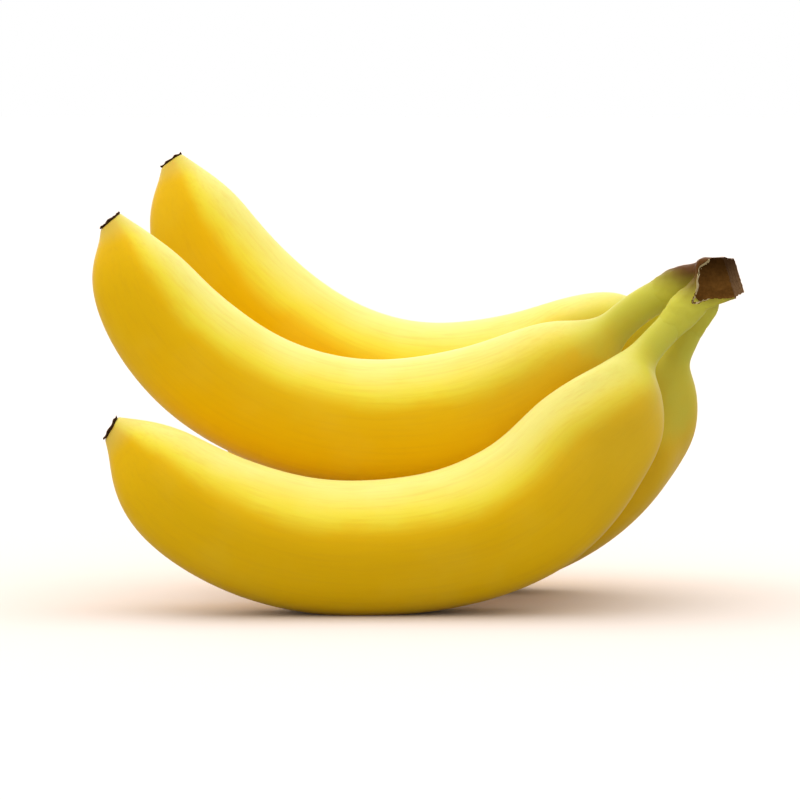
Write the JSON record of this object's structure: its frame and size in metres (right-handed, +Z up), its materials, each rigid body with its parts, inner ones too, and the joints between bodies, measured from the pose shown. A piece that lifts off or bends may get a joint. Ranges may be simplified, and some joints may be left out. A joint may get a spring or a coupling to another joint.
{
  "type": "bunch of bananas",
  "caption": "Bunch of ripe yellow bananas grown from one cut brown crown, lying on the bellies of its lower fruit.",
  "frame": {"origin": "centre of the bounding box, on the surface that the bunch rests on", "axes": "+Z up, +X along the fruit towards the crown, +Y across the fruit towards the back of the bunch"},
  "size_m": [0.1852, 0.1292, 0.1255],
  "materials": {
    "peel": "ripe banana peel: waxy, satin, yellow turning green on the stalks",
    "crown": "dried brown crown, fibrous where it was cut",
    "flower_scar": "dry, dark brown, matt flower stub"
  },
  "bodies": {
    "root": {"crown": "crown", "banana_lower_front": "peel", "banana_upper_front": "peel", "banana_lower_back": "peel", "banana_upper_back": "peel", "scar_lower_front": "flower_scar", "scar_upper_front": "flower_scar", "scar_lower_back": "flower_scar", "scar_upper_back": "flower_scar"}
  },
  "joints": []
}
